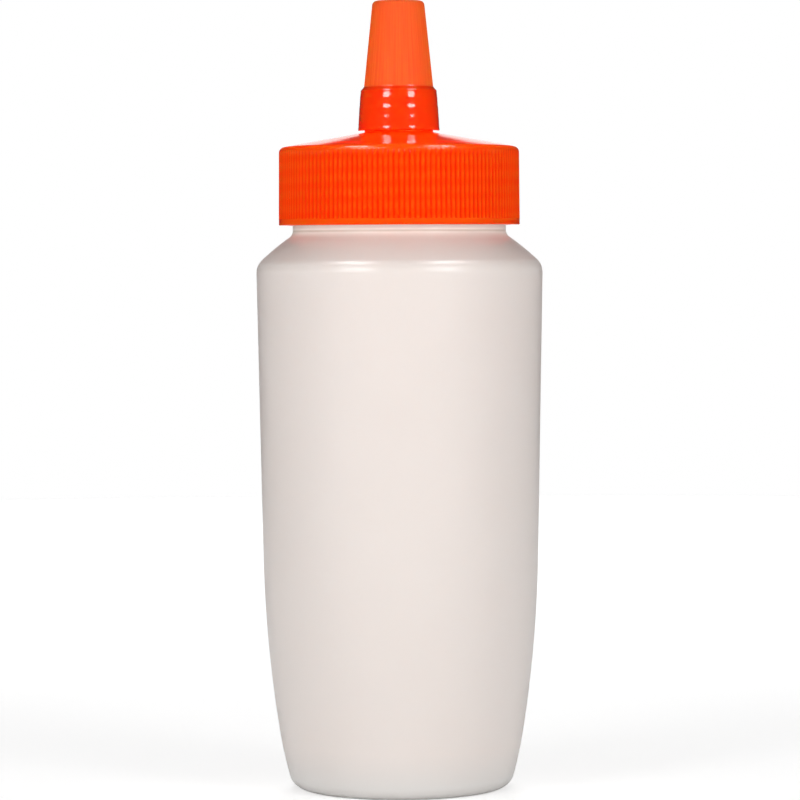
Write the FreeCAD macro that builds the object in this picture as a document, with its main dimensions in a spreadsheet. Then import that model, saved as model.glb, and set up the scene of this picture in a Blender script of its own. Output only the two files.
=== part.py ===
import FreeCAD, Part
import Sketcher
import math
import os

# Honey dispenser bottle: a hollow squeeze bottle, a fluted screw cap that carries a hollow
# nozzle, and a tip cap over the nozzle. Millimetres and degrees, +Z up, the origin at the
# middle of the flat ring that the bottle stands on.
#
# The screw cap seats with its land on the bottle's rim, and the tip cap seats on the boss
# below the nozzle. Each is drawn from its own lower edge, and its Placement is that seat.

SIZES = [
    # bottle
    ("body_diameter", 72.98, "widest place, before the shoulder is rounded"),
    ("body_height", 133.6, "height of the widest place"),
    ("belly_inset", 1.4, "how far the straight wall draws in on its way down to the belly"),
    ("belly_height", 59.1, "height of the belly, where the wall begins to curve in"),
    ("ankle_inset", 5.4, "how far the wall has drawn in where that curve tightens"),
    ("ankle_height", 14.5, "height of that place"),
    ("base_inset", 8.77, "how far the wall has drawn in at the ground, before the heel is rounded"),
    ("heel_radius", 4.45, "rounding between the ground and the wall"),
    ("foot_inset", 5.9, "from that corner to the inner edge of the flat ring it stands on"),
    ("push_up_depth", 1.6, "rise of the base inside the ring"),
    ("shoulder_angle", 50.4, "shoulder's lean from the upright"),
    ("shoulder_crown", 5.2, "how much steeper or flatter it is at its two ends, as it bulges"),
    ("shoulder_radius", 4.7, "rounding of the widest place"),
    ("neck_fillet", 2.1, "hollow rounding where the shoulder meets the neck"),
    ("neck_diameter", 54.3, "neck outside, between its threads"),
    ("neck_length", 20.76, "from the shoulder to the rim"),
    ("bottle_wall", 1.1, "thickness of the bottle everywhere"),
    # screw cap
    ("thread_space", 1.5, "room for the threads between neck and cap"),
    ("cap_wall", 2.05, "skirt of the screw cap, over the ridges"),
    ("cap_side_height", 19.8, "side of the screw cap, before its rim is rounded"),
    ("cap_rim_radius", 2.6, "rounding of that rim"),
    ("land_thickness", 1.4, "side height that stands above the land on the bottle's rim"),
    ("cap_top_angle", 10.0, "rise of the cap's conical top"),
    ("cap_top_thickness", 1.6, "thickness of the conical top"),
    ("plug_clearance", 0.15, "between the sealing ring and the mouth"),
    ("plug_thickness", 1.0, "sealing ring"),
    ("plug_depth", 2.5, "sealing ring's reach into the mouth"),
    ("flute_count", 144, "flutes round the screw cap"),
    ("flute_depth", 0.32, "depth of a flute"),
    ("flute_share", 0.62, "share of the pitch that a flute takes"),
    ("band_height", 1.6, "plain band below the flutes"),
    # boss and nozzle
    ("boss_diameter", 17.4, "boss that the tip cap seats on"),
    ("boss_wall", 1.5, "wall of the boss"),
    ("boss_height", 33.0, "from the cap's lower edge to the seat on the boss"),
    ("seat_width", 1.35, "ledge of the boss round the nozzle, which is the seat"),
    ("throat_length", 2.0, "funnel from the boss's bore into the nozzle"),
    ("nozzle_wall", 1.3, "wall of the nozzle"),
    ("nozzle_end", 1.5, "thickness of the nozzle's end"),
    ("orifice_diameter", 4.4, "hole in the nozzle's end"),
    # tip cap
    ("skirt_clearance", 0.1, "between the boss and the tip cap's skirt"),
    ("skirt_wall", 1.7, "tip cap's skirt at its lower edge"),
    ("skirt_top_wall", 0.87, "tip cap's skirt at its chamfer"),
    ("skirt_gap", 0.64, "between the skirt's lower edge and the cap's conical top"),
    ("bead_height", 1.0, "thicker edge at the bottom of the skirt"),
    ("bead_width", 0.2, "how far that edge stands out"),
    ("step_width", 0.14, "how much the skirt thickens in the step below the seat"),
    ("step_height", 0.5, "height of that step"),
    ("seat_cover", 1.25, "skirt above the seat, up to the chamfer"),
    ("chamfer_height", 1.0, "chamfer between skirt and cone"),
    ("tip_height", 33.0, "whole tip cap"),
    ("tip_diameter", 13.1, "tip cap's end, before it is rounded"),
    ("tip_radius", 1.2, "rounding of that end"),
    ("tip_wall", 1.2, "wall of the tip cap's cone and end"),
    ("nozzle_clearance", 0.25, "between nozzle and tip cap"),
    ("end_clearance", 0.6, "between the nozzle's end and the tip cap's end"),
    ("pin_clearance", 0.15, "between the sealing pin and the orifice"),
    ("pin_length", 3.0, "sealing pin under the tip cap's end"),
]

# Derived lengths, as expressions of the sheet. Heights on the screw cap and on the tip cap are
# counted from their own lower edges.
BODY = "(sizes.body_diameter / 2)"
BELLY = f"({BODY} - sizes.belly_inset)"
ANKLE = f"({BODY} - sizes.ankle_inset)"
BASE = f"({BODY} - sizes.base_inset)"
FOOT = f"({BASE} - sizes.foot_inset)"
NECK = "(sizes.neck_diameter / 2)"
MOUTH = f"({NECK} - sizes.bottle_wall)"
NECK_FOOT = f"(sizes.body_height + ({BODY} - {NECK}) / tan(sizes.shoulder_angle))"
RIM_HEIGHT = f"({NECK_FOOT} + sizes.neck_length)"

CAP_BORE = f"({NECK} + sizes.thread_space)"
CAP = f"({CAP_BORE} + sizes.cap_wall)"
LAND = "(sizes.cap_side_height - sizes.land_thickness)"
PLUG = f"({MOUTH} - sizes.plug_clearance)"
PLUG_BORE = f"({PLUG} - sizes.plug_thickness)"
BOSS = "(sizes.boss_diameter / 2)"
BOSS_BORE = f"({BOSS} - sizes.boss_wall)"

SOCKET = f"({BOSS} + sizes.skirt_clearance)"
SKIRT = f"({SOCKET} + sizes.skirt_wall)"
SKIRT_TOP = f"({SOCKET} + sizes.skirt_top_wall)"
TIP_CEILING = "(sizes.tip_height - sizes.tip_wall)"
TIP_CAVITY_END = "(sizes.tip_diameter / 2 - sizes.tip_wall)"

NOZZLE = f"({BOSS} - sizes.seat_width)"
NOZZLE_TIP = f"({TIP_CAVITY_END} - sizes.nozzle_clearance)"
ORIFICE = "(sizes.orifice_diameter / 2)"
PIN = f"({ORIFICE} - sizes.pin_clearance)"
TIP_CAVITY = f"({NOZZLE} + sizes.nozzle_clearance)"
CONE = f"({TIP_CAVITY} + sizes.tip_wall)"


def lean(start, end):
    """Expression for how far the way from one corner to the next leans from the upright."""
    return f"atan(({end[0]} - ({start[0]})) / ({end[1]} - ({start[1]})))"


def cap_top(radius):
    """Expression for the height of the conical top at a radius, above the cap's lower edge."""
    return f"(sizes.cap_side_height + ({CAP} - {radius}) * tan(sizes.cap_top_angle))"


SOCKET_DEPTH = f"(sizes.boss_height - {cap_top(SKIRT)} - sizes.skirt_gap)"
SKIRT_HEIGHT = f"({SOCKET_DEPTH} + sizes.seat_cover)"
NOZZLE_HEIGHT = f"(sizes.boss_height - {SOCKET_DEPTH} + {TIP_CEILING} - sizes.end_clearance)"
CAP_SEAT = f"({RIM_HEIGHT} - {LAND})"
TIP_SEAT = f"({CAP_SEAT} + sizes.boss_height - {SOCKET_DEPTH})"

HALF_PITCH = "180 / sizes.flute_count"


def make_sheet(doc):
    """The spreadsheet of driving dimensions: name, value and meaning in each row."""
    sheet = doc.addObject("Spreadsheet::Sheet", "sizes")
    for row, (name, value, meaning) in enumerate(SIZES, start=1):
        sheet.set(f"A{row}", name)
        sheet.set(f"B{row}", str(value))
        sheet.set(f"C{row}", meaning)
        sheet.setAlias(f"B{row}", name)
    doc.recompute()
    return sheet


def make_body(doc, label):
    """An empty body whose label names its file."""
    body = doc.addObject("PartDesign::Body", label)
    body.Label = label
    return body


def plane(body, role):
    """One of the body's own origin planes or axes."""
    return next(item for item in body.Origin.OriginFeatures if item.Role == role)


def make_sketch(body, name, role):
    """A sketch on one of the body's origin planes."""
    sketch = body.newObject("Sketcher::SketchObject", name)
    sketch.AttachmentSupport = (plane(body, role), "")
    sketch.MapMode = "FlatFace"
    return sketch


def constrain(sketch, expression, kind, *target):
    """Add one dimension and bind it to an expression of the sheet."""
    value = float(sketch.evalExpression(expression))
    index = sketch.addConstraint(Sketcher.Constraint(kind, *target, value))
    sketch.setExpression(f"Constraints[{index}]", expression)


def place_edge(sketch, start, end, half_turn):
    """Add a line, or an arc that turns to the left by twice an angle on its way.

    Returns the edge's number and the numbers of its first and last point: a sketch keeps every
    arc anticlockwise, so one that turns to the right is stored from its end.
    """
    if half_turn == 0:
        return sketch.addGeometry(Part.LineSegment(start, end), False), 1, 2
    right = FreeCAD.Vector(end.y - start.y, start.x - end.x, 0)
    middle = (start + end) / 2 + right * math.tan(math.radians(half_turn) / 2) / 2
    if half_turn > 0:
        return sketch.addGeometry(Part.Arc(start, middle, end), False), 1, 2
    return sketch.addGeometry(Part.Arc(end, middle, start), False), 2, 1


def draw_outline(sketch, corners, half_turns=None):
    """Draw a closed outline through the corners and pin each corner by two expressions.

    A corner is (across, up). Half turns are expressions, by the corner that an arc starts from,
    and give that arc its radius: half its chord divided by the sine of the half turn.
    """
    half_turns = half_turns or {}
    points = []
    for across, up in corners:
        x = float(sketch.evalExpression(across))
        y = float(sketch.evalExpression(up))
        points.append(FreeCAD.Vector(x, y, 0))
    edges = []
    for number, start in enumerate(points):
        end = points[(number + 1) % len(points)]
        half_turn = float(sketch.evalExpression(half_turns.get(number, "0")))
        edges.append(place_edge(sketch, start, end, half_turn))
    for number, (edge, first, last) in enumerate(edges):
        following, following_first, _ = edges[(number + 1) % len(edges)]
        target = (edge, last, following, following_first)
        sketch.addConstraint(Sketcher.Constraint("Coincident", *target))
    for (edge, first, last), (across, up) in zip(edges, corners):
        pin_point(sketch, edge, first, across, up)
    for number, half_turn in half_turns.items():
        across, up = corners[number]
        next_across, next_up = corners[(number + 1) % len(corners)]
        chord = f"hypot({next_across} - ({across}), {next_up} - ({up}))"
        constrain(sketch, f"{chord} / (2 * sin(abs({half_turn})))", "Radius", edges[number][0])


def pin_point(sketch, edge, point, across, up):
    """Fix a point of an edge: on an axis where it lies on one, or by its dimension."""
    for kind, expression, axis in (("DistanceX", across, -2), ("DistanceY", up, -1)):
        if expression == "0":
            sketch.addConstraint(Sketcher.Constraint("PointOnObject", edge, point, axis))
        else:
            constrain(sketch, expression, kind, -1, 1, edge, point)


def turn(body, sketch, kind):
    """Turn an outline once round the body's upright axis, as a Revolution or as a Groove."""
    turned = body.newObject(kind, f"{sketch.Name}_turned")
    turned.Profile = sketch
    turned.ReferenceAxis = (sketch, ["V_Axis"])
    turned.Angle = 360
    body.Document.recompute()
    return turned


def ring_edge(feature, corner):
    """Name of the round edge that an outline's corner has become."""
    radius, height = (float(feature.evalExpression(place)) for place in corner)
    near = 1e-4
    for number, edge in enumerate(feature.Shape.Edges, start=1):
        if edge.Degenerated or not isinstance(edge.Curve, Part.Circle):
            continue
        circle = edge.Curve
        if abs(circle.Radius - radius) < near and abs(circle.Center.z - height) < near:
            return f"Edge{number}"
    raise ValueError(f"no round edge of radius {radius} at height {height}")


def round_ring(body, name, base, corner, radius):
    """Round the ring edge at an outline's corner with a fillet of a radius from the sheet."""
    fillet = body.newObject("PartDesign::Fillet", name)
    fillet.Base = (base, [ring_edge(base, corner)])
    fillet.setExpression("Radius", radius)
    body.Document.recompute()
    return fillet


def draw_bottle(body, name, inset):
    """Draw the bottle's outline, or with an inset its inside, with sharp corners.

    An inset keeps the wall's thickness square to the sloping shoulder: each end of the slope
    sinks by the inset times the tangent of half its angle there. The belly is two arcs, and each
    runs on from what is above it. Returns the sketch and its heel, widest and neck corners.
    """
    flatter = f"{inset} * tan((sizes.shoulder_angle + sizes.shoulder_crown) / 2)"
    steeper = f"{inset} * tan((sizes.shoulder_angle - sizes.shoulder_crown) / 2)"
    heel = (f"{BASE} - {inset}", inset)
    ankle = (f"{ANKLE} - {inset}", "sizes.ankle_height")
    belly = (f"{BELLY} - {inset}", "sizes.belly_height")
    widest = (f"{BODY} - {inset}", f"sizes.body_height - {steeper}")
    neck = (f"{NECK} - {inset}", f"{NECK_FOOT} - {flatter}")
    corners = [
        ("0", f"sizes.push_up_depth + {inset}"),
        (FOOT, inset),
        heel,
        ankle,
        belly,
        widest,
        neck,
        (f"{NECK} - {inset}", RIM_HEIGHT),
        ("0", RIM_HEIGHT),
    ]
    upper = f"({lean(ankle, belly)} - {lean(belly, widest)})"
    lower = f"({lean(heel, ankle)} - {lean(ankle, belly)} - {upper})"
    dome = f"-atan(sizes.push_up_depth / {FOOT})"
    half_turns = {0: dome, 2: lower, 3: upper, 5: "sizes.shoulder_crown"}
    sketch = make_sketch(body, name, "XZ_Plane")
    draw_outline(sketch, corners, half_turns)
    return sketch, heel, widest, neck


def make_bottle(doc):
    """Blow-moulded bottle: its outside is turned and rounded, then its inside is grooved out."""
    body = make_body(doc, "bottle")
    wall = "sizes.bottle_wall"
    sketch, heel, widest, neck = draw_bottle(body, "outside", "0")
    solid = turn(body, sketch, "PartDesign::Revolution")
    solid = round_ring(body, "heel", solid, heel, "sizes.heel_radius")
    solid = round_ring(body, "shoulder", solid, widest, "sizes.shoulder_radius")
    solid = round_ring(body, "neck_root", solid, neck, "sizes.neck_fillet")
    sketch, heel, widest, neck = draw_bottle(body, "inside", wall)
    hollow = turn(body, sketch, "PartDesign::Groove")
    if hollow.Shape.Volume >= solid.Shape.Volume:
        raise ValueError("the groove cuts nothing")
    solid = round_ring(body, "inner_heel", hollow, heel, f"sizes.heel_radius - {wall}")
    solid = round_ring(body, "inner_shoulder", solid, widest, f"sizes.shoulder_radius - {wall}")
    round_ring(body, "inner_neck_root", solid, neck, f"sizes.neck_fillet + {wall}")
    return body


def make_screw_cap(doc):
    """Screw cap: skirt, land, sealing ring, conical top, boss and nozzle in one turned section."""
    body = make_body(doc, "screw_cap")
    sketch = make_sketch(body, "cap_section", "XZ_Plane")
    rim = (CAP, "sizes.cap_side_height")
    corners = [
        (CAP, "0"),
        rim,
        (BOSS, cap_top(BOSS)),
        (BOSS, "sizes.boss_height"),
        (NOZZLE, "sizes.boss_height"),
        (NOZZLE_TIP, NOZZLE_HEIGHT),
        (ORIFICE, NOZZLE_HEIGHT),
        (ORIFICE, f"{NOZZLE_HEIGHT} - sizes.nozzle_end"),
        (f"{NOZZLE_TIP} - sizes.nozzle_wall", f"{NOZZLE_HEIGHT} - sizes.nozzle_end"),
        (f"{NOZZLE} - sizes.nozzle_wall", "sizes.boss_height"),
        (BOSS_BORE, "sizes.boss_height - sizes.throat_length"),
        (BOSS_BORE, f"{cap_top(BOSS_BORE)} - sizes.cap_top_thickness"),
        (PLUG_BORE, f"{cap_top(PLUG_BORE)} - sizes.cap_top_thickness"),
        (PLUG_BORE, f"{LAND} - sizes.plug_depth"),
        (PLUG, f"{LAND} - sizes.plug_depth"),
        (PLUG, LAND),
        (CAP_BORE, LAND),
        (CAP_BORE, "0"),
    ]
    draw_outline(sketch, corners)
    solid = turn(body, sketch, "PartDesign::Revolution")
    solid = round_ring(body, "cap_rim", solid, rim, "sizes.cap_rim_radius")
    cut_flutes(body, solid)
    body.setExpression("Placement.Base.z", CAP_SEAT)
    doc.recompute()
    return body


def cut_flutes(body, solid):
    """Cut one flute from the plain band up through the rounded rim, and repeat it all round."""
    sketch = make_sketch(body, "flute_outline", "XY_Plane")
    sketch.setExpression("AttachmentOffset.Base.z", "sizes.band_height")
    half_width = f"({CAP} * sin({HALF_PITCH} * sizes.flute_share))"
    crest = f"({CAP} * cos({HALF_PITCH} * sizes.flute_share))"
    outside = f"({CAP} + sizes.flute_depth)"
    corners = [
        (f"{CAP} - sizes.flute_depth", "0"),
        (crest, f"-{half_width}"),
        (outside, f"-{half_width}"),
        (outside, half_width),
        (crest, half_width),
    ]
    draw_outline(sketch, corners)
    pocket = body.newObject("PartDesign::Pocket", "flute")
    pocket.Profile = sketch
    pocket.Reversed = True
    pocket.setExpression("Length", "sizes.cap_side_height")
    body.Document.recompute()
    if pocket.Shape.Volume >= solid.Shape.Volume:
        raise ValueError("the flute's pocket cuts nothing")
    pattern = body.newObject("PartDesign::PolarPattern", "flutes")
    pattern.Originals = [pocket]
    pattern.Axis = (plane(body, "Z_Axis"), [""])
    pattern.Angle = 360
    pattern.setExpression("Occurrences", "sizes.flute_count")
    body.Tip = pattern


def make_tip_cap(doc):
    """Tip cap: a drafted skirt with a step, a chamfer and a long cone, and a pin inside it."""
    body = make_body(doc, "tip_cap")
    sketch = make_sketch(body, "tip_section", "XZ_Plane")
    end = ("sizes.tip_diameter / 2", "sizes.tip_height")
    corners = [
        (SKIRT, "0"),
        (f"{SKIRT} - sizes.bead_width", "sizes.bead_height"),
        (f"{SKIRT_TOP} + sizes.step_width", f"{SOCKET_DEPTH} - sizes.step_height"),
        (SKIRT_TOP, SOCKET_DEPTH),
        (SKIRT_TOP, SKIRT_HEIGHT),
        (CONE, f"{SKIRT_HEIGHT} + sizes.chamfer_height"),
        end,
        ("0", "sizes.tip_height"),
        ("0", f"{TIP_CEILING} - sizes.pin_length"),
        (PIN, f"{TIP_CEILING} - sizes.pin_length"),
        (PIN, TIP_CEILING),
        (TIP_CAVITY_END, TIP_CEILING),
        (TIP_CAVITY, SOCKET_DEPTH),
        (SOCKET, SOCKET_DEPTH),
        (SOCKET, "0"),
    ]
    draw_outline(sketch, corners)
    solid = turn(body, sketch, "PartDesign::Revolution")
    round_ring(body, "tip_end", solid, end, "sizes.tip_radius")
    body.setExpression("Placement.Base.z", TIP_SEAT)
    doc.recompute()
    return body


def check(doc, bodies):
    """Stop if any object failed or any sub-part isn't one valid solid."""
    for item in doc.Objects:
        if "Invalid" in item.State or "Error" in item.State:
            raise ValueError(f"{item.Label} failed: {item.State}")
    for body in bodies:
        shape = body.Shape
        if shape.isNull() or not shape.isValid() or len(shape.Solids) != 1:
            raise ValueError(f"{body.Label} isn't one valid solid")
        print(body.Label, round(shape.Volume, 1), "mm3")


def main():
    doc = FreeCAD.newDocument("honey_dispenser_bottle")
    make_sheet(doc)
    bodies = [make_bottle(doc), make_screw_cap(doc), make_tip_cap(doc)]
    doc.recompute()
    check(doc, bodies)
    os.makedirs("parts", exist_ok=True)
    for body in bodies:
        body.Shape.exportStep(f"parts/{body.Label}.step")


main()
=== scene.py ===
import math

import bpy
import numpy as np
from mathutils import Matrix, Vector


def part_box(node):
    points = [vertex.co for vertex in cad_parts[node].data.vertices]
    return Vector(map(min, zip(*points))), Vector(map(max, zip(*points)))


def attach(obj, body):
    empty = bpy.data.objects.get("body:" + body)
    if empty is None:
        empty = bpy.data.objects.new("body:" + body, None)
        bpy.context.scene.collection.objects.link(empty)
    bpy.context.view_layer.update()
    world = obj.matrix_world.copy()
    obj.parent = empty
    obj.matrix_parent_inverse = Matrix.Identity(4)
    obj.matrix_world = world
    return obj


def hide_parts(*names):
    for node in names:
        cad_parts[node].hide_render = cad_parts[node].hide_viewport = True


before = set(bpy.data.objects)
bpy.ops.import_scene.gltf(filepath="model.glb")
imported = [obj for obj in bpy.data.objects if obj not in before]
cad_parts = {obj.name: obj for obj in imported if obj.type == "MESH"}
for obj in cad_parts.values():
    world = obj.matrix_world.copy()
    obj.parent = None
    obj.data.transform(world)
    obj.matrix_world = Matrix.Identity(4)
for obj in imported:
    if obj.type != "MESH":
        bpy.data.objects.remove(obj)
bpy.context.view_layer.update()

# Honey dispenser bottle: an empty frosted squeeze bottle, a fluted orange screw cap that
# carries a hollow nozzle, and an orange tip cap over the nozzle.
# Lengths in the profiles are millimetres, and MM turns them into the frame's metres.
MM = 0.001
# A radius under this is on the axis.
ON_AXIS = 1e-9
# A bottle or tip cap has this many columns round it.
ROUND_COLUMNS = 256


# ---------------------------------------------------------------- profiles


def line_lean(start, end):
    """Angle of the line from start to end, from the horizontal, anticlockwise."""
    return math.atan2(end[1] - start[1], end[0] - start[0])


def arc_between(start, end, half_turn, steps):
    """Points of the arc from start to end that turns by twice half_turn, anticlockwise.

    Its tangent at the share t of the way leans by c + (2 t - 1) h, where c is the chord's lean
    and h the half turn, so the point is start + R (sin - sin0, cos0 - cos) of that lean, with
    R = chord / (2 sin h).
    """
    start, end = np.array(start, float), np.array(end, float)
    radius = np.linalg.norm(end - start) / (2 * math.sin(half_turn))
    lean = line_lean(start, end) + half_turn * np.linspace(-1, 1, steps + 1)
    across = np.sin(lean) - math.sin(lean[0])
    up = math.cos(lean[0]) - np.cos(lean)
    return start + radius * np.stack((across, up), axis=1)


def rounded(corners, steps=6):
    """Profile through corners (radius, height, rounding), each rounded by an arc.

    The arc touches both sides at r tan(a / 2) from the corner, where a is the turn there, and
    its points are the centre plus (sin((1 - t) a) p + sin(t a) q) / sin a, with p and q the
    spokes to where it touches.
    """
    points = [corners[0][:2]]
    for before, corner, after in zip(corners, corners[1:], corners[2:]):
        place = np.array(corner[:2], float)
        if not corner[2]:
            points.append(place)
            continue
        back = np.array(before[:2], float) - place
        onward = np.array(after[:2], float) - place
        back /= np.linalg.norm(back)
        onward /= np.linalg.norm(onward)
        turn = math.pi - math.acos(float(np.clip(back @ onward, -1, 1)))
        reach = corner[2] * math.tan(turn / 2)
        middle = (back + onward) / np.linalg.norm(back + onward)
        centre = place + middle * corner[2] / math.cos(turn / 2)
        share = np.linspace(0, 1, steps + 1)[:, None]
        first = place + back * reach - centre
        last = place + onward * reach - centre
        arc = np.sin((1 - share) * turn) * first + np.sin(share * turn) * last
        points.extend(centre + arc / math.sin(turn))
    points.append(corners[-1][:2])
    return np.array([np.asarray(point, float) for point in points])


def held(profile, shortest=0.72, margin=0.12):
    """The profile with a point near each end of its long straight runs, so they shade flat.

    Each run from p to q of length l over the shortest gains p + m (q - p) / l and
    q - m (q - p) / l.
    """
    step = np.diff(profile, axis=0)
    length = np.linalg.norm(step, axis=1)
    share = (margin / np.maximum(length, margin))[:, None]
    start = profile[:-1]
    points = np.stack((start, start + share * step, start + (1 - share) * step), axis=1)
    kept = np.stack((length >= 0, length > shortest, length > shortest), axis=1)
    return np.concatenate((points[kept], profile[-1:]))


# ---------------------------------------------------------------- meshes


def grid_faces(index, closed):
    """Faces of a grid of vertex numbers whose columns close up, and whose rows may.

    A row of one repeated number is a pole, and the faces beside it are triangles.
    """
    low, high = index, np.roll(index, -1, axis=0)
    if not closed:
        low, high = low[:-1], high[:-1]
    low_next, high_next = np.roll(low, -1, axis=1), np.roll(high, -1, axis=1)
    quads = np.stack((low, low_next, high_next, high), axis=-1)
    foot = low[:, 0] == low[:, 1]
    peak = high[:, 0] == high[:, 1]
    return [
        quads[~foot & ~peak].reshape(-1, 4),
        quads[foot][..., (0, 2, 3)].reshape(-1, 3),
        quads[peak][..., (0, 1, 2)].reshape(-1, 3),
    ]


def make_piece(name, vertices, faces, crease):
    """A mesh object from vertices and arrays of faces, smooth except where it turns sharply."""
    mesh = bpy.data.meshes.new(name)
    faces = [part for part in faces if len(part)]
    corners = np.concatenate([part.ravel() for part in faces])
    sizes = np.concatenate([np.full(len(part), part.shape[1]) for part in faces])
    mesh.vertices.add(len(vertices))
    mesh.vertices.foreach_set("co", np.asarray(vertices, np.float32).ravel())
    mesh.loops.add(len(corners))
    mesh.loops.foreach_set("vertex_index", corners.astype(np.int32))
    mesh.polygons.add(len(sizes))
    starts = np.concatenate(([0], np.cumsum(sizes)[:-1]))
    mesh.polygons.foreach_set("loop_start", starts.astype(np.int32))
    mesh.update(calc_edges=True)
    mesh.validate()
    mesh.shade_smooth()
    mesh.set_sharp_from_angle(angle=math.radians(crease))
    piece = bpy.data.objects.new(name, mesh)
    bpy.context.scene.collection.objects.link(piece)
    return piece


def ring_points(radius, height, columns):
    """Grid (row, column) of points (r cos a, r sin a, z) from radii that may vary round a row.

    The radii and heights are millimetres, and the points are metres.
    """
    angle = 2 * np.pi * np.arange(columns) / columns
    radius = np.broadcast_to(radius, (len(height), columns))
    height = np.broadcast_to(np.asarray(height)[:, None], radius.shape)
    return np.stack((radius * np.cos(angle), radius * np.sin(angle), height), axis=-1) * MM


def turned(name, profile, columns, closed=False, crease=30):
    """Surface of revolution of a profile (radius, height) about the upright axis.

    Points are (r cos a, r sin a, z) with a in even steps. An end of the profile on the axis is
    one shared vertex. A closed profile is a ring whose last point joins its first.
    """
    points = ring_points(profile[:, :1], profile[:, 1], columns)
    index = np.arange(points[..., 0].size).reshape(points.shape[:2])
    poles = profile[:, 0] < ON_AXIS
    index[poles] = index[poles][:, :1]
    used, flat = np.unique(index, return_inverse=True)
    vertices = points.reshape(-1, 3)[used]
    return make_piece(name, vertices, grid_faces(flat.reshape(index.shape), closed), crease)


# ---------------------------------------------------------------- bottle

BODY_RADIUS, BODY_HEIGHT = 36.49, 133.6
BELLY = (35.09, 59.1)
ANKLE = (31.09, 14.5)
BASE_RADIUS, HEEL_ROUNDING = 27.72, 4.45
FOOT_RADIUS, PUSH_UP = 21.82, 1.6
NECK_RADIUS = 27.15
SHOULDER_SLOPE, SHOULDER_CROWN = math.radians(50.4), math.radians(5.2)
SHOULDER_ROUNDING, NECK_ROUNDING = 4.7, 2.1
BOTTLE_WALL = 1.1


def arc_circle(start, end, half_turn):
    """Centre and radius of the circle that arc_between follows.

    The centre lies R to the left of the start, square to the tangent c - h there.
    """
    radius = math.dist(start, end) / (2 * math.sin(half_turn))
    lean = line_lean(start, end) - half_turn
    return np.array(start) + radius * np.array((-math.sin(lean), math.cos(lean))), radius


def rounding(start, lean, circle, radius, steps):
    """Arc of a radius that touches both a line and a circle, from the line to the circle.

    Its centre is start + r n + t u, for the line's way u and its left side n, at R - r from the
    circle's centre, with the larger t of the two. It runs from -r n to r times the spoke from
    the circle's centre, through (sin((1 - s) a) p + sin(s a) q) / sin a. A negative radius puts
    it on the right, outside the circle.
    """
    middle, around = circle
    along = np.array((math.cos(lean), math.sin(lean)))
    left = np.array((-along[1], along[0]))
    offset = np.array(start) + radius * left - middle
    half = offset @ along
    reach = -half + math.sqrt(half ** 2 - offset @ offset + (around - radius) ** 2)
    spoke = (offset + reach * along) / (around - radius)
    turn = math.acos(float(-left @ spoke))
    share = np.linspace(0, 1, steps + 1)[:, None]
    arc = (np.sin((1 - share) * turn) * -left + np.sin(share * turn) * spoke) / math.sin(turn)
    return middle + offset + reach * along + radius * arc


def between(profile, low, high, clear=0.15):
    """The points of a rising profile that lie between two heights, and clear of both."""
    return profile[(profile[:, 1] > low + clear) & (profile[:, 1] < high - clear)]


def bottle_outside(rim):
    """Profile of the bottle's outside, from the middle of its base to its rim.

    A shallow dome, the flat foot ring, the heel, the ankle's arc and the belly's arc, each of
    which runs on from the one above it, the straight wall, the shoulder, which is an arc of a
    slight crown between two roundings, and the neck.
    """
    base, widest = (BASE_RADIUS, 0.0), (BODY_RADIUS, BODY_HEIGHT)
    slope = (BODY_RADIUS - NECK_RADIUS) / math.tan(SHOULDER_SLOPE)
    neck_foot = (NECK_RADIUS, BODY_HEIGHT + slope)
    wall_lean = line_lean(BELLY, widest)
    upper = wall_lean - line_lean(ANKLE, BELLY)
    lower = line_lean(ANKLE, BELLY) - line_lean(base, ANKLE) - upper
    ankle_arc = arc_between(base, ANKLE, lower, steps=40)
    belly_arc = arc_between(ANKLE, BELLY, upper, steps=40)
    crown_arc = arc_between(widest, neck_foot, SHOULDER_CROWN, steps=24)
    ankle_circle = arc_circle(base, ANKLE, lower)
    crown_circle = arc_circle(widest, neck_foot, SHOULDER_CROWN)
    heel = rounding(base, 0.0, ankle_circle, HEEL_ROUNDING, steps=24)
    shoulder = rounding(BELLY, wall_lean, crown_circle, SHOULDER_ROUNDING, steps=20)
    neck = rounding(neck_foot, math.pi / 2, crown_circle, -NECK_ROUNDING, steps=12)[::-1]
    dome_turn = -math.atan(PUSH_UP / FOOT_RADIUS)
    dome = arc_between((0.0, PUSH_UP), (FOOT_RADIUS, 0.0), dome_turn, steps=14)
    wall = np.linspace(BELLY, shoulder[0], num=12)[:-1]
    return np.concatenate((
        dome,
        heel,
        between(ankle_arc, heel[-1, 1], ANKLE[1]),
        belly_arc[:-1],
        wall,
        shoulder,
        between(crown_arc, shoulder[-1, 1], neck[0, 1]),
        neck,
        [(NECK_RADIUS, rim)],
    ))


def inward(profile, depth):
    """The profile moved inwards by a depth along its own normals.

    The normal at a point is square to the line through its two neighbours.
    """
    along = np.gradient(profile, axis=0)
    along /= np.linalg.norm(along, axis=1)[:, None]
    moved = profile + depth * np.stack((-along[:, 1], along[:, 0]), axis=1)
    moved[0, 0] = 0.0
    return moved


def make_bottle():
    """Bottle: its outside, the flat rim, and the inside a wall's thickness within it."""
    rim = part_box("bottle")[1][2] / MM
    outside = bottle_outside(rim)
    inside = inward(outside, BOTTLE_WALL)
    inside[-1, 1] = rim
    profile = np.concatenate((outside, inside[::-1]))
    return turned("frosted_bottle", held(profile, shortest=8.0), ROUND_COLUMNS, crease=40)


# ---------------------------------------------------------------- screw cap

FLUTES, COLUMNS_PER_FLUTE = 144, 8
# Where the two grids meet, one column of the coarse one stands beside four of the fine one.
FINE_PER_COARSE = 4
CAP_RADIUS, CAP_SIDE, CAP_RIM_ROUNDING = 30.7, 19.8, 1.5
CAP_DRAFT = 0.13
FLUTE_DEPTH, FLUTE_WIDTH, BAND_HEIGHT = 0.36, 0.2, 1.6
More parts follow.
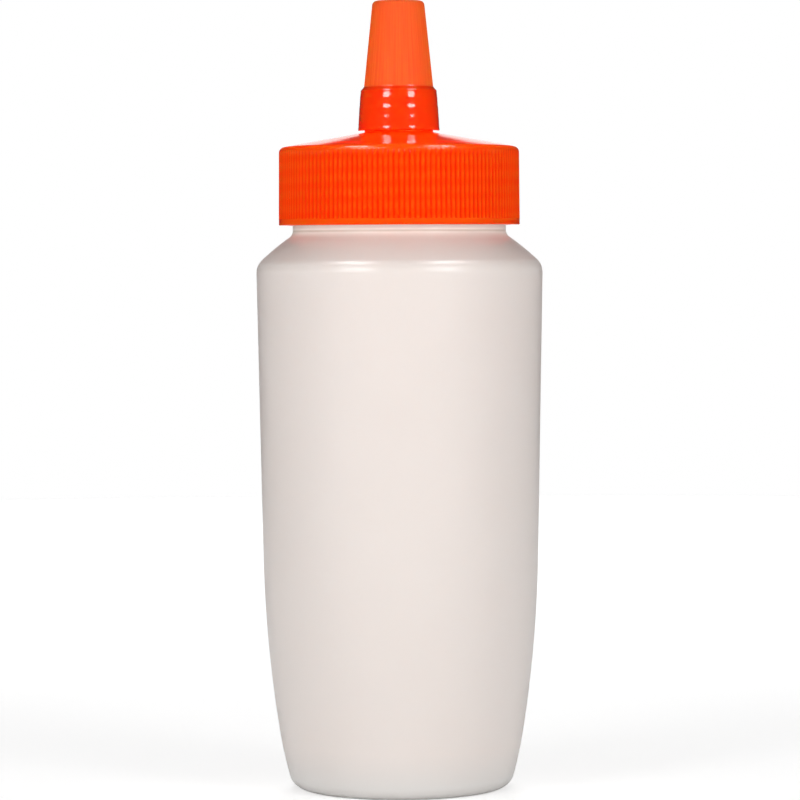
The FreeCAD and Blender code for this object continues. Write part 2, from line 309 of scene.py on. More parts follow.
# The flutes' run-out ends this far above the height of the side less the rim's rounding, it
# takes this height, and it leaves this share of their depth.
RUN_OUT_END, RUN_OUT_HEIGHT, RUN_OUT_SHARE = 0.3, 1.2, 0.35
# Shares of the wall's height at which it has rows of points, close together near the rim.
WALL_ROWS = (0.12, 0.8, 0.94, 0.96, 0.98, 0.995)
CONE_SLOPE, CONE_WALL = math.tan(math.radians(10.0)), 1.6
# Radii on the cone at which the fine grid's profile ends and the coarse grid starts.
FINE_END, COARSE_START = 25.0, 27.0
BOSS_RADIUS, BOSS_HEIGHT = 8.7, 33.0
BOSS_BORE, BOSS_BORE_DROP = 7.2, 2.0
# Radii of the nozzle at its foot and its end, outside and inside, and its outlet.
NOZZLE_FOOT, NOZZLE_END = 7.35, 5.1
NOZZLE_FOOT_BORE, NOZZLE_END_BORE = 6.05, 3.8
OUTLET_RADIUS, OUTLET_LENGTH = 2.2, 1.5
# The bore round the neck, and the land above it that rests on the bottle's rim.
CAP_BORE, CAP_LAND = NECK_RADIUS + 1.5, CAP_SIDE - 1.4
# Along the lower edge, the coarse grid ends this far in from the outside.
EDGE_JOIN = 1.0
# The plug stands in the bottle's mouth: how far in from the mouth its sides are, and its length.
PLUG_OUTSIDE, PLUG_INSIDE, PLUG_LENGTH = 0.15, 1.15, 2.5


def cap_top(radius):
    """Height of the cap's conical top at a radius, above the cap's lower edge."""
    return CAP_SIDE + (CAP_RADIUS - radius) * CONE_SLOPE


def fluted_radius(profile, columns):
    """Radius of the fluted wall: the profile's own, or the flute's where that is less.

    A flute's radius is R(z) - d e(z) exp(-(t / w)^2), with R(z) the drafted wall's, t the share
    of the pitch from the flute's middle, w its width, and e(z) its run-out, which falls from 1
    to 0.35 towards the rounded rim: broad ridges with narrow valleys between.
    """
    turns = FLUTES * np.arange(columns) / columns
    middle = np.abs(turns - np.round(turns))
    wall = CAP_RADIUS - CAP_DRAFT * profile[:, 1:] / CAP_SIDE
    above = CAP_SIDE - CAP_RIM_ROUNDING + RUN_OUT_END - profile[:, 1:]
    run_out = np.clip(above / RUN_OUT_HEIGHT, 0, 1)
    depth = FLUTE_DEPTH * (RUN_OUT_SHARE + (1 - RUN_OUT_SHARE) * run_out)
    return np.minimum(profile[:, :1], wall - depth * np.exp(-(middle / FLUTE_WIDTH) ** 2))


def cap_outside():
    """Profiles of the plain band at the cap's lower edge, and of its wall, rim and cone.

    Both are lines between corners with rounded ones, and the wall has rows at shares of its
    height. The first point of the one and the last of the other only set how the line leans
    there, and are left out.
    """
    band = rounded([
        (CAP_BORE, 0, 0),
        (CAP_RADIUS, 0, 0.25),
        (CAP_RADIUS, BAND_HEIGHT, 0),
    ], steps=4)[1:]
    upper = rounded([
        (CAP_RADIUS, BAND_HEIGHT, 0),
        (CAP_RADIUS - CAP_DRAFT, CAP_SIDE, CAP_RIM_ROUNDING),
        (FINE_END, cap_top(FINE_END), 0),
    ], steps=26)
    wall = upper[0] + np.array(WALL_ROWS)[:, None] * (upper[1] - upper[0])
    return held(band), np.concatenate((upper[:1], wall, held(upper[1:])))[:-1]


def cap_inside(nozzle_top):
    """Profile from the cone over the boss and the nozzle, and back inside to the lower edge.

    It is lines between rounded corners. The nozzle is a hollow cone with a flat end and a small
    outlet, and under the top a plug stands in the bottle's mouth.
    """
    mouth = NECK_RADIUS - BOTTLE_WALL
    return held(rounded([
        (COARSE_START, cap_top(COARSE_START), 0),
        (BOSS_RADIUS, cap_top(BOSS_RADIUS), 0.35),
        (BOSS_RADIUS, BOSS_HEIGHT, 0.15),
        (NOZZLE_FOOT, BOSS_HEIGHT, 0.1),
        (NOZZLE_END, nozzle_top, 0.3),
        (OUTLET_RADIUS, nozzle_top, 0.1),
        (OUTLET_RADIUS, nozzle_top - OUTLET_LENGTH, 0),
        (NOZZLE_END_BORE, nozzle_top - OUTLET_LENGTH, 0),
        (NOZZLE_FOOT_BORE, BOSS_HEIGHT, 0),
        (BOSS_BORE, BOSS_HEIGHT - BOSS_BORE_DROP, 0),
        (BOSS_BORE, cap_top(BOSS_BORE) - CONE_WALL, 0.3),
        (mouth - PLUG_INSIDE, cap_top(mouth - PLUG_INSIDE) - CONE_WALL, 0.3),
        (mouth - PLUG_INSIDE, CAP_LAND - PLUG_LENGTH, 0.2),
        (mouth - PLUG_OUTSIDE, CAP_LAND - PLUG_LENGTH, 0.3),
        (mouth - PLUG_OUTSIDE, CAP_LAND, 0.15),
        (CAP_BORE, CAP_LAND, 0.3),
        (CAP_BORE, 0, 0.2),
        (CAP_RADIUS - EDGE_JOIN, 0, 0),
    ], steps=5))


def joining_ring(fine, coarse, below):
    """Seven-sided faces between a ring of vertices and one with a quarter as many.

    Each has one edge of the coarse ring, the four of the fine ring beside it, and two sides.
    """
    start = np.arange(len(coarse)) * FINE_PER_COARSE
    steps = [fine[(start + step) % len(fine)] for step in range(FINE_PER_COARSE + 1)]
    sides = [np.roll(coarse, -1), coarse]
    face = np.stack(steps + sides, axis=-1)
    return face[:, ::-1] if below else face


def make_screw_cap():
    """Screw cap: a fine grid for the fluted wall, and a coarser one for all the rest.

    A ring of seven-sided faces joins them at the lower edge, and another on the cone. On the
    cone the fine grid ends at a radius of 25.12 mm, which is inside the 27 mm at which the
    coarse one starts, so between the two radii the surface is folded over itself. That is a
    known fault: the fine grid should end outside the coarse one's start.
    """
    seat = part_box("screw_cap")[0][2] / MM
    nozzle_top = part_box("screw_cap")[1][2] / MM - seat
    columns = FLUTES * COLUMNS_PER_FLUTE
    band, upper = cap_outside()
    radius = np.concatenate((
        np.broadcast_to(band[:, :1], (len(band), columns)),
        fluted_radius(upper, columns),
    ))
    fine = ring_points(radius, np.append(band[:, 1], upper[:, 1]) + seat, columns)
    rest = cap_inside(nozzle_top)
    coarse = ring_points(rest[:, :1], rest[:, 1] + seat, columns // FINE_PER_COARSE)
    fine_index = np.arange(fine[..., 0].size).reshape(fine.shape[:2])
    coarse_index = fine_index.size + np.arange(coarse[..., 0].size).reshape(coarse.shape[:2])
    faces = grid_faces(fine_index, False) + grid_faces(coarse_index, False)
    faces.append(joining_ring(fine_index[-1], coarse_index[0], False))
    faces.append(joining_ring(fine_index[0], coarse_index[-1], True))
    vertices = np.concatenate((fine.reshape(-1, 3), coarse.reshape(-1, 3)))
    piece = make_piece("fluted_screw_cap", vertices, faces, crease=32)
    # How deep each point of the wall lies in a flute, which its plastic reads by this name to
    # paint shade in the valleys.
    plain = np.concatenate((band[:, :1], upper[:, :1]))
    sunk = np.zeros(len(vertices), np.float32)
    sunk[:radius.size] = np.clip((plain - radius) / FLUTE_DEPTH, 0, 1).ravel()
    piece.data.attributes.new("sunk", "FLOAT", "POINT").data.foreach_set("value", sunk)
    return piece


# ---------------------------------------------------------------- tip cap

SKIRT_EDGE, SKIRT_TOP = 10.43, 9.67
# The flare goes in by this much, up to this height, with this rounding above it.
EDGE_FLARE, FLARE_HEIGHT, FLARE_ROUNDING = 0.13, 1.0, 1.5
# The skirt's side starts this far above the flare, and ends this far below the skirt's top.
SIDE_START, SIDE_END = 0.2, 0.5
SKIRT_HEIGHT, CHAMFER_HEIGHT, CHAMFER_RADIUS = 10.25, 11.25, 8.8
TIP_END = 6.55
# The skirt's steps, each of them the height of its middle, its width and its full height.
SKIRT_STEPS = ((9.0, 0.21, 2.4), (6.1, 0.075, 1.25), (3.5, 0.03, 1.3))
# Inside: the socket that fits the boss, the cavity round the nozzle, and the pin, whose end is
# this far below the top.
SOCKET_RADIUS, CAVITY_FOOT, CAVITY_TOP, END_WALL = 8.8, 7.6, 5.35, 1.2
PIN_RADIUS, PIN_END = 2.05, 4.2


def skirt_side(low, high, steps):
    """Profile of the skirt's side from a height to a higher one.

    The radius is a straight draft plus soft steps w s(t), where s = 3 t^2 - 2 t^3 falls from 1
    to 0 over each step's height.
    """
    height = np.linspace(low, high, steps)
    radius = np.full(steps, SKIRT_TOP)
    for middle, width, reach in SKIRT_STEPS:
        share = np.clip((middle - height) / reach + 0.5, 0, 1)
        radius += width * share ** 2 * (3 - 2 * share)
    top = SKIRT_STEPS[0][0] - SKIRT_STEPS[0][2] / 2
    spread = SKIRT_EDGE - EDGE_FLARE - SKIRT_TOP - sum(step[1] for step in SKIRT_STEPS)
    radius += spread * np.clip((top - height) / (top - low), 0, 1)
    return np.stack((radius, height), axis=1)


def make_tip_cap():
    """Tip cap: a drafted skirt with soft steps and a flared edge, a chamfer and a long cone.

    Its profile is lines between rounded corners, with the skirt's side between two of them.
    The last point of the foot and the first of the top only set how the line leans there, and
    are left out.
    """
    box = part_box("tip_cap")
    edge, height = box[0][2] / MM, (box[1][2] - box[0][2]) / MM
    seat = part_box("screw_cap")[0][2] / MM + BOSS_HEIGHT - edge
    foot = rounded([
        (SOCKET_RADIUS, 0, 0),
        (SKIRT_EDGE, 0, 0.25),
        (SKIRT_EDGE - EDGE_FLARE, FLARE_HEIGHT, FLARE_ROUNDING),
        (SKIRT_EDGE - 0.17, 1.6, 0),
    ], steps=6)[:-1]
    top = rounded([
        (SKIRT_TOP, SKIRT_HEIGHT - 0.6, 0),
        (SKIRT_TOP, SKIRT_HEIGHT, 0.4),
        (CHAMFER_RADIUS, CHAMFER_HEIGHT, 0.4),
        (TIP_END, height, 1.2),
        (0, height, 0),
    ], steps=8)[1:]
    inside = rounded([
        (0, height - PIN_END, 0),
        (PIN_RADIUS, height - PIN_END, 0.3),
        (PIN_RADIUS, height - END_WALL, 0.2),
        (CAVITY_TOP, height - END_WALL, 0.3),
        (CAVITY_FOOT, seat, 0.1),
        (SOCKET_RADIUS, seat, 0.1),
        (SOCKET_RADIUS, 0, 0),
    ], steps=4)
    side = skirt_side(foot[-1, 1] + SIDE_START, SKIRT_HEIGHT - SIDE_END, steps=90)
    ring = np.concatenate((inside[:-1], foot, side, top))
    ring[:, 1] += edge
    return turned("orange_tip_cap", held(ring), ROUND_COLUMNS, crease=35)


# ---------------------------------------------------------------- nodes


def add(tree, kind, values=None, **settings):
    """A node of a tree with its settings, and with its inputs by name or number.

    An input is given a number, a vector or a colour, or another node's output to link to.
    """
    node = tree.nodes.new(kind)
    for title, value in settings.items():
        setattr(node, title, value)
    for title, value in (values or {}).items():
        if isinstance(value, bpy.types.NodeSocket):
            tree.links.new(value, node.inputs[title])
        else:
            node.inputs[title].default_value = value
    return node


def maths(tree, operation, *values):
    """Result of one operation on numbers or outputs."""
    node = add(tree, "ShaderNodeMath", dict(enumerate(values)), operation=operation)
    return node.outputs["Value"]


def product(tree, first, second):
    """Two values multiplied."""
    return maths(tree, "MULTIPLY", first, second)


def larger(tree, first, *rest):
    """The largest of some values."""
    for value in rest:
        first = maths(tree, "MAXIMUM", first, value)
    return first


def ranged(tree, value, low, high, start=0.3, stop=0.7):
    """A value mapped from the range start..stop to low..high, and kept inside it."""
    node = add(tree, "ShaderNodeMapRange", {
        "Value": value,
        "From Min": start,
        "From Max": stop,
        "To Min": low,
        "To Max": high,
    })
    return node.outputs["Result"]


def blended(tree, share, first, second, kind="RGBA"):
    """A colour that goes from the first to the second by a share, or a number for FLOAT."""
    values = {"Factor": share, "A": first, "B": second}
    return add(tree, "ShaderNodeMix", values, data_type=kind).outputs["Result"]


def strip_mask(tree, across, along, near, far, start, stop):
    """Mask of a strip about the axis: |across| within near..far, and along past start..stop."""
    sides = ranged(tree, maths(tree, "ABSOLUTE", across), 1.0, 0.0, near, far)
    return product(tree, sides, ranged(tree, along, 0.0, 1.0, start, stop))


# ---------------------------------------------------------------- finishes


def new_group(name, inputs, outputs):
    """A shader node group with number sockets of these names, its input and output nodes."""
    group = bpy.data.node_groups.new(name, "ShaderNodeTree")
    for title in inputs:
        group.interface.new_socket(title, in_out="INPUT", socket_type="NodeSocketFloat")
    for title in outputs:
        group.interface.new_socket(title, in_out="OUTPUT", socket_type="NodeSocketFloat")
    return group, group.nodes.new("NodeGroupInput"), group.nodes.new("NodeGroupOutput")


def skin_group():
    """Moulded skin: slow waves, fine grain and a blend of the two as a height."""
    group, given, result = new_group(
        "moulded_skin", ("Wave Scale", "Grain Scale", "Grain Share"), ("Height", "Waves", "Grain"))
    place = add(group, "ShaderNodeTexCoord").outputs["Object"]
    waves = add(group, "ShaderNodeTexNoise", {
        "Vector": place,
        "Scale": given.outputs["Wave Scale"],
        "Detail": 2.0,
        "Roughness": 0.45,
    }).outputs["Fac"]
    grain = add(group, "ShaderNodeTexNoise", {
        "Vector": place,
        "Scale": given.outputs["Grain Scale"],
        "Detail": 3.0,
        "Roughness": 0.6,
    }).outputs["Fac"]
    height = blended(group, given.outputs["Grain Share"], waves, grain, "FLOAT")
    for title, value in (("Height", height), ("Waves", waves), ("Grain", grain)):
        group.links.new(value, result.inputs[title])
    return group


def streak_group():
    """Upright streaks: noise of a (x, y) / r + b z, quick round the axis and slow along it."""
    group, given, result = new_group("upright_streaks", ("Across", "Along"), ("Streaks",))
    place = add(group, "ShaderNodeTexCoord").outputs["Object"]
    across = add(group, "ShaderNodeCombineXYZ", {
        "X": given.outputs["Across"],
        "Y": given.outputs["Across"],
    })
    along = add(group, "ShaderNodeCombineXYZ", {"Z": given.outputs["Along"]})
    flat = add(group, "ShaderNodeVectorMath", {0: place, 1: (1.0, 1.0, 0.0)},
               operation="MULTIPLY")
    outward = add(group, "ShaderNodeVectorMath", {0: flat.outputs["Vector"]},
                  operation="NORMALIZE")
    upright = add(group, "ShaderNodeVectorMath", {0: place, 1: along.outputs["Vector"]},
                  operation="MULTIPLY")
    stretch = add(group, "ShaderNodeVectorMath", {
        0: outward.outputs["Vector"],
        1: across.outputs["Vector"],
        2: upright.outputs["Vector"],
    }, operation="MULTIPLY_ADD")
    noise = add(group, "ShaderNodeTexNoise", {
        "Vector": stretch.outputs["Vector"],
        "Scale": 1.0,
        "Detail": 4.0,
        "Roughness": 0.65,
    })
    group.links.new(noise.outputs["Fac"], result.inputs["Streaks"])
    return group


def height_group():
    """Share that rises from 0 at the height Low to 1 at High, or falls where Low is higher."""
    group, given, result = new_group("height_share", ("Low", "High"), ("Share",))
    place = add(group, "ShaderNodeTexCoord")
    split = add(group, "ShaderNodeSeparateXYZ", {"Vector": place.outputs["Object"]})
    low, high = given.outputs["Low"], given.outputs["High"]
    share = ranged(group, split.outputs["Z"], 0.0, 1.0, low, high)
    group.links.new(share, result.inputs["Share"])
    return group


SKIN = skin_group()
STREAKS = streak_group()
HEIGHT_SHARE = height_group()


def height_share(tree, low, high):
    """Share that goes from 0 at the first height of the piece to 1 at the second."""
    node = add(tree, "ShaderNodeGroup", {"Low": low, "High": high}, node_tree=HEIGHT_SHARE)
    return node.outputs["Share"]


def height_band(tree, rise, fall):
    """Share that rises from 0 to 1 between two heights, and falls back between two more."""
    return product(tree, height_share(tree, *rise), height_share(tree, *reversed(fall)))


THREAD_PITCH, THREAD_SPAN = 3.6 * MM, (0.1, 0.4)


def thread_bands(tree):
    """Share from 0 to 1 and back in each turn, as a thread inside the cap might show.

    The bands' phase is z / p - a / 2 pi, with z the height, p the pitch and a the angle. They
    run over the whole cap, and no thread is modelled inside it.
    """
    place = add(tree, "ShaderNodeTexCoord")
    split = add(tree, "ShaderNodeSeparateXYZ", {"Vector": place.outputs["Object"]})
    angle = maths(tree, "ARCTAN2", split.outputs["Y"], split.outputs["X"])
    turns = maths(tree, "DIVIDE", angle, 2 * math.pi)
    lead = maths(tree, "DIVIDE", split.outputs["Z"], THREAD_PITCH)
    swing = maths(tree, "PINGPONG", maths(tree, "SUBTRACT", lead, turns), 0.5)
    return ranged(tree, swing, 0.0, 1.0, *THREAD_SPAN)


def plastic(name, values):
    """A material whose Principled BSDF has these values, with its tree and that shader."""
    material = bpy.data.materials.new(name)
    material.use_nodes = True
    shader = material.node_tree.nodes["Principled BSDF"]
    for title, value in values.items():
        shader.inputs[title].default_value = value
    return material, material.node_tree, shader


def relief(tree, shader, height, distance, strength=1.0):
    """Bump from a height socket into the shader's normal."""
    values = {"Height": height, "Distance": distance, "Strength": strength}
    bump = add(tree, "ShaderNodeBump", values)
    tree.links.new(bump.outputs["Normal"], shader.inputs["Normal"])


# Light spreads a little way inside each plastic: alike in every colour in the milky one, and
# much further in red than in green or blue in the orange ones.
MILKY_BODY = {
    "Subsurface Weight": 1.0,
    "Subsurface Radius": (1.0, 1.0, 1.0),
    "Subsurface Scale": 0.0015,
    "IOR": 1.5,
}
ORANGE_BODY = {**MILKY_BODY, "Subsurface Radius": (1.0, 0.12, 0.03)}

# Colours are red, green, blue and alpha. Heights are metres, in the frame.
MOTTLE_PALE, MOTTLE_DEEP = (0.885, 0.808, 0.768, 1), (0.87, 0.786, 0.742, 1)
# Painted shade: the heel is greyer, where the base stands behind the wall.
HEEL_SHADE, HEEL_HEIGHTS = (0.79, 0.765, 0.74, 1), (0.003, 0.012)
# Painted shade under the cap towards the top of the shoulder, warmed by painted light bounced from
# the orange cap.
SHOULDER_SHADE, SHOULDER_SHADE_RISE, SHOULDER_SHADE_FALL = (0.765, 0.665, 0.615, 1), (0.132, 0.1405), (0.1413, 0.1425)
# Painted shade: a darker line round the crease at the foot of the neck.
CREASE_SHADE = (0.62, 0.5, 0.43, 1)
CREASE_RISE, CREASE_FALL = (0.14185, 0.1421), (0.14235, 0.1426)
# Painted light: a faint glow from the foot of the neck up stands in for light that comes through
# the plastic.
NO_GLOW, NECK_GLOW, NECK_GLOW_RISE = (0.0, 0.0, 0.0, 1), (0.08, 0.14, 0.125, 1), (0.14, 0.1418)
BOTTLE_ROUGHNESS, BOTTLE_RELIEF = (0.285, 0.3), 0.00003


def frosted_plastic():
    """Natural squeeze-bottle plastic: milky, satin, with a faint mottle and fine grain.

    At the heel it is greyer, a painted shade where the base stands behind the wall. Towards the
    top of the shoulder it is darker and warmer, a painted shade under the cap warmed by painted
    light bounced from the orange cap. A darker painted shade line runs round the foot of the
    neck, and from there up a faint painted glow stands in for light coming through the plastic.
    """
    values = {**MILKY_BODY, "Emission Strength": 1.0}
    material, tree, shader = plastic("frosted_bottle_plastic", values)
    skin = add(tree, "ShaderNodeGroup", {
        "Wave Scale": 45.0,
        "Grain Scale": 1800.0,
        "Grain Share": 0.12,
    }, node_tree=SKIN)
    mottle = blended(tree, skin.outputs["Waves"], MOTTLE_PALE, MOTTLE_DEEP)
    # Painted shade at the heel.
    heel = blended(tree, height_share(tree, *HEEL_HEIGHTS), HEEL_SHADE, mottle)
    # Painted shade and painted orange bounce light on the upper shoulder.
    shoulder_shade = blended(tree, height_band(tree, SHOULDER_SHADE_RISE, SHOULDER_SHADE_FALL), heel, SHOULDER_SHADE)
    # Painted shade line in the crease at the foot of the neck.
    crease = blended(tree, height_band(tree, CREASE_RISE, CREASE_FALL), shoulder_shade, CREASE_SHADE)
    # Painted glow on the neck, standing in for light through the plastic.
    glow = blended(tree, height_share(tree, *NECK_GLOW_RISE), NO_GLOW, NECK_GLOW)
    rough = ranged(tree, skin.outputs["Grain"], *BOTTLE_ROUGHNESS)
    for title, look in (("Base Color", crease), ("Emission Color", glow), ("Roughness", rough)):
        tree.links.new(look, shader.inputs[title])
    relief(tree, shader, skin.outputs["Height"], BOTTLE_RELIEF)
    return material


CAP_ORANGE, CAP_BAND = (1.0, 0.08, 0.001, 1), (1.0, 0.101, 0.003, 1)
# Painted shade: a deeper red in the flutes' valleys.
VALLEY_SHADE = (0.9, 0.03, 0.0, 1)
# Painted light: red glows standing in for light, faint on the wall, strong on the cone above the
# rim, and strongest in the gap round the boss's foot, lit through the tip cap's skirt.
WALL_GLOW, CONE_GLOW = (0.09, 0.0, 0.0, 1), (0.4, 0.012, 0.0, 1)
CONE_GLOW_RISE = (0.1627, 0.1634)
GAP_GLOW, GAP_RISE, GAP_FALL = (0.6, 0.003, 0.0, 1), (0.1668, 0.1674), (0.1682, 0.1690)
CAP_ROUGHNESS, CAP_RELIEF = (0.04, 0.07), 0.00005


def cap_plastic():
    """Glossy orange polypropylene of the screw cap, with faint bands like those of a thread.

    Its flutes' valleys are a deeper red, a painted shade. It has a painted red glow that stands
    in for light: faint up to the rim, strong above it, and strongest round the foot of the boss,
    to just inside the tip cap.
    """
    values = {**ORANGE_BODY, "Emission Strength": 1.0}
    material, tree, shader = plastic("orange_cap_plastic", values)
    skin = add(tree, "ShaderNodeGroup", {
        "Wave Scale": 120.0,
        "Grain Scale": 2400.0,
        "Grain Share": 0.15,
    }, node_tree=SKIN)
    sunk = add(tree, "ShaderNodeAttribute", attribute_name="sunk")
    color = blended(tree, thread_bands(tree), CAP_ORANGE, CAP_BAND)
    # Painted shade in the flutes' valleys, by how deep each point lies.
    valley_shade = blended(tree, sunk.outputs["Fac"], color, VALLEY_SHADE)
    # Painted red glow on the wall and cone, and stronger painted light in the gap under the tip
    # cap.
    glow = blended(tree, height_share(tree, *CONE_GLOW_RISE), WALL_GLOW, CONE_GLOW)
    gap = blended(tree, height_band(tree, GAP_RISE, GAP_FALL), glow, GAP_GLOW)
    rough = ranged(tree, skin.outputs["Grain"], *CAP_ROUGHNESS)
    for title, look in (("Base Color", valley_shade), ("Emission Color", gap), ("Roughness", rough)):
        tree.links.new(look, shader.inputs[title])
    relief(tree, shader, skin.outputs["Height"], CAP_RELIEF)
    return material


TIP_ORANGE = (1.0, 0.055, 0.001, 1)
STREAK_DEEP, STREAK_PALE = (0.91, 0.098, 0.005, 1), (0.97, 0.14, 0.01, 1)
STREAK_SPAN = (0.42, 0.58)
SKIRT_ROUGHNESS, CONE_ROUGHNESS = 0.1, 0.68
STREAK_RELIEF, STREAK_STRENGTH = 0.0001, 0.6
# The glossy skirt turns satin over this distance, below and above the top of the chamfer.
SATIN_BLEND = 0.0003


def tip_plastic():
    """Orange polyethylene of the tip cap: a glossy skirt, and a satin cone with fine streaks."""
    values = {**ORANGE_BODY, "Specular IOR Level": 0.2, "Coat Roughness": 0.1}
    material, tree, shader = plastic("orange_tip_plastic", values)
    group = add(tree, "ShaderNodeGroup", {"Across": 34.0, "Along": 40.0}, node_tree=STREAKS)
    streaks = group.outputs["Streaks"]
    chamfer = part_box("tip_cap")[0][2] + CHAMFER_HEIGHT * MM
    satin = height_share(tree, chamfer - SATIN_BLEND, chamfer + SATIN_BLEND)
    rough = blended(tree, satin, SKIRT_ROUGHNESS, CONE_ROUGHNESS, "FLOAT")
    coat = ranged(tree, satin, 1.0, 0.0, 0.0, 1.0)
    worn = blended(tree, ranged(tree, streaks, 0.0, 1.0, *STREAK_SPAN), STREAK_DEEP, STREAK_PALE)
    color = blended(tree, satin, TIP_ORANGE, worn)
    for title, look in (("Base Color", color), ("Coat Weight", coat), ("Roughness", rough)):
        tree.links.new(look, shader.inputs[title])
    relief(tree, shader, product(tree, streaks, satin), STREAK_RELIEF, STREAK_STRENGTH)
    return material


# ---------------------------------------------------------------- studio

WHITE = (1, 1, 1, 1)
FLOOR_RADIUS, FLOOR_SIDES = 1.2, 96
# The floor's own white, near the object and at the floor's edge, and where it starts to rise.
FLOOR_GLOW_NEAR, FLOOR_GLOW_FAR, GLOW_START = 0.53, 0.68, 0.25
# The strips that gloss sees as white: half their width and how far behind the object they
# start, each from one end of a soft edge to the other. The board's are parts of a direction.
FLOOR_STRIP = (0.06, 0.14, 0.1, 0.3)
BOARD_STRIP, BOARD_TOP = (0.1, 0.2, 0.1, 0.3), (0.222, 0.232)
DARK_STUDIO = 0.025
# The world's light from the front and from behind, and the share of it from overhead, with the
# parts of a direction over which each changes.
FRONT_FILL, REAR_FILL, FILL_TURN = 0.88, 0.18, (-0.35, 0.2)
OVERHEAD_SHARE, OVERHEAD_TURN = 0.3, (0.2, 0.8)
# Each lamp stands this far from the point that it faces.
LAMP_DISTANCE, LAMP_TARGET = 1.1, (0.0, 0.0, 0.1)
# Name, azimuth to the right of the camera and elevation in degrees, width and height in
# metres, power in watts, and the rays that the lamp is hidden from.
LAMPS = (
    ("left_softbox", -42.0, 10.0, (0.44, 0.44), 4.3, "visible_glossy"),
    ("right_softbox", 44.0, 10.0, (0.44, 0.44), 4.1, "visible_glossy"),
    ("left_sheen", -37.0, 25.0, (0.44, 0.44), 4.9, "visible_diffuse"),
    ("right_sheen", 39.0, 25.0, (0.44, 0.44), 4.6, "visible_diffuse"),
    ("back_softbox", 180.0, 35.0, (0.5, 0.5), 4.4, "visible_glossy"),
    ("left_gleam", -60.0, 61.0, (0.45, 0.3), 5.0, "visible_diffuse"),
    ("right_gleam", 62.0, 61.0, (0.45, 0.3), 5.0, "visible_diffuse"),
)
CAMERA_PLACE, LENS, SENSOR = (0.00015, -1.0, 0.13723), 176.4, 36.0
# How far the camera tips down and rolls, in degrees.
CAMERA_TIP, CAMERA_ROLL = 2.182, 0.27


def floor_material():
    """White floor: it takes the object's soft shadow, and has a white of its own.

    That white rises a little with the distance from the object, and only the camera, clear
    parts and gloss see it. Gloss sees it in a strip straight behind the object, as it sees the
    board's.
    """
    material, tree, shader = plastic("white_floor", {
        "Base Color": (0.75, 0.75, 0.75, 1),
        "Roughness": 0.9,
        "Specular IOR Level": 0.1,
        "Emission Color": WHITE,
    })
    path = add(tree, "ShaderNodeLightPath")
    place = add(tree, "ShaderNodeTexCoord").outputs["Object"]
    split = add(tree, "ShaderNodeSeparateXYZ", {"Vector": place})
    away = add(tree, "ShaderNodeVectorMath", {0: place}, operation="LENGTH")
    strip = strip_mask(tree, split.outputs["X"], split.outputs["Y"], *FLOOR_STRIP)
    gloss = product(tree, path.outputs["Is Glossy Ray"], strip)
    seen = larger(tree, path.outputs["Is Camera Ray"], path.outputs["Is Transmission Ray"], gloss)
    glow = ranged(tree, away.outputs["Value"], FLOOR_GLOW_NEAR, FLOOR_GLOW_FAR,
                  GLOW_START, FLOOR_RADIUS)
    tree.links.new(product(tree, seen, glow), shader.inputs["Emission Strength"])
    return material


def make_floor():
    """Plain pale floor, a round sheet at the height that the bottle stands on."""
    angle = 2 * np.pi * np.arange(FLOOR_SIDES) / FLOOR_SIDES
    rim = FLOOR_RADIUS * np.stack((np.cos(angle), np.sin(angle), 0 * angle), axis=1)
    mesh = bpy.data.meshes.new("floor")
    mesh.from_pydata(rim.tolist(), [], [tuple(range(FLOOR_SIDES))])
    floor = bpy.data.objects.new("floor", mesh)
    bpy.context.scene.collection.objects.link(floor)
    mesh.materials.append(floor_material())


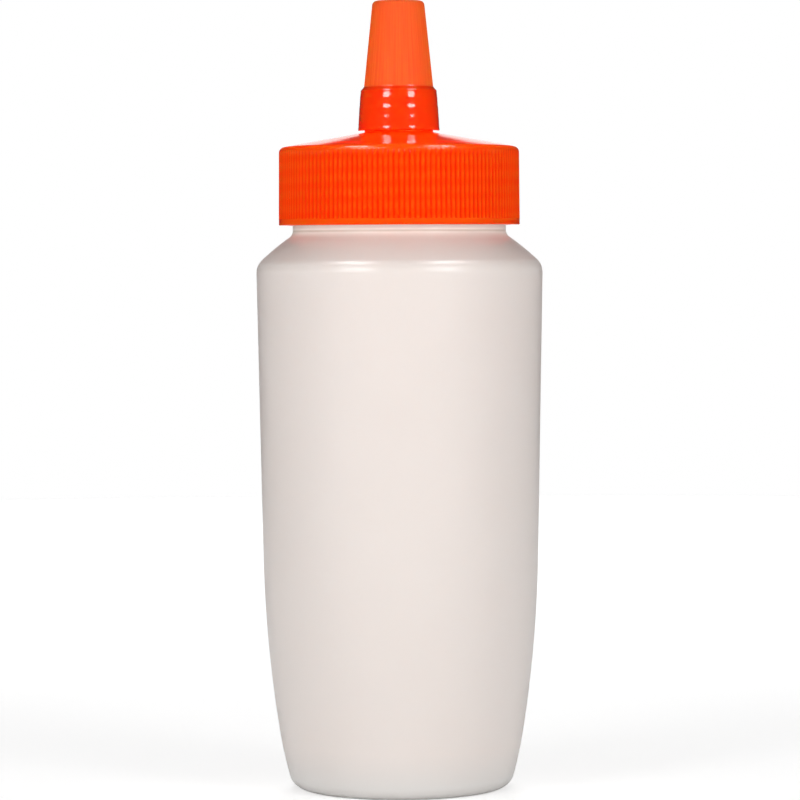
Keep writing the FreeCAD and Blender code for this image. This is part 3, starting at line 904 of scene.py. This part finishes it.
def make_world():
    """Surroundings that differ with the kind of ray.

    The camera and clear parts see plain white. Gloss sees a white board, which stands low
    behind the object in a dark studio. The light that falls on the object is strongest from
    the front, and weaker from behind and from overhead.
    """
    world = bpy.data.worlds.new("studio")
    bpy.context.scene.world = world
    world.use_nodes = True
    tree = world.node_tree
    tree.nodes.clear()
    path = add(tree, "ShaderNodeLightPath")
    place = add(tree, "ShaderNodeTexCoord")
    split = add(tree, "ShaderNodeSeparateXYZ", {"Vector": place.outputs["Generated"]})
    board = strip_mask(tree, split.outputs["X"], split.outputs["Y"], *BOARD_STRIP)
    low = ranged(tree, split.outputs["Z"], 1.0, 0.0, *BOARD_TOP)
    gloss = ranged(tree, product(tree, board, low), DARK_STUDIO, 1.0, 0.0, 1.0)
    front = ranged(tree, split.outputs["Y"], FRONT_FILL, REAR_FILL, *FILL_TURN)
    below = ranged(tree, split.outputs["Z"], 1.0, OVERHEAD_SHARE, *OVERHEAD_TURN)
    light = product(tree, front, below)
    unseen = blended(tree, path.outputs["Is Glossy Ray"], light, gloss, "FLOAT")
    seen = larger(tree, path.outputs["Is Camera Ray"], path.outputs["Is Transmission Ray"])
    level = blended(tree, seen, unseen, 1.0, "FLOAT")
    background = add(tree, "ShaderNodeBackground", {"Color": WHITE, "Strength": level})
    add(tree, "ShaderNodeOutputWorld", {"Surface": background.outputs["Background"]})


def make_lamp(name, azimuth, elevation, size, power, hidden):
    """Oval softbox that faces the object, at an azimuth to the right of the camera."""
    data = bpy.data.lights.new(name, "AREA")
    data.shape = "ELLIPSE"
    data.size, data.size_y = size
    data.energy = power
    lamp = bpy.data.objects.new(name, data)
    turn, rise = math.radians(azimuth), math.radians(elevation)
    away = np.array((math.sin(turn) * math.cos(rise), -math.cos(turn) * math.cos(rise),
                     math.sin(rise)))
    lamp.location = np.array(LAMP_TARGET) + LAMP_DISTANCE * away
    lamp.rotation_euler = (math.pi / 2 - rise, 0.0, turn)
    bpy.context.scene.collection.objects.link(lamp)
    setattr(lamp, hidden, False)


def make_camera():
    """Long lens level with the shoulder, tipped down a little and very slightly rolled."""
    data = bpy.data.cameras.new("camera")
    data.sensor_width = SENSOR
    data.lens = LENS
    camera = bpy.data.objects.new("camera", data)
    camera.location = CAMERA_PLACE
    camera.rotation_euler = (math.radians(90 - CAMERA_TIP), math.radians(CAMERA_ROLL), 0.0)
    bpy.context.scene.collection.objects.link(camera)
    bpy.context.scene.camera = camera


make_camera()
make_floor()
make_world()
for lamp in LAMPS:
    make_lamp(*lamp)

for piece, node, material in (
    (make_bottle(), "bottle", frosted_plastic()),
    (make_screw_cap(), "screw_cap", cap_plastic()),
    (make_tip_cap(), "tip_cap", tip_plastic()),
):
    piece.data.materials.append(material)
    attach(piece, "root")
    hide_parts(node)

bpy.context.scene.view_settings.view_transform = "Standard"
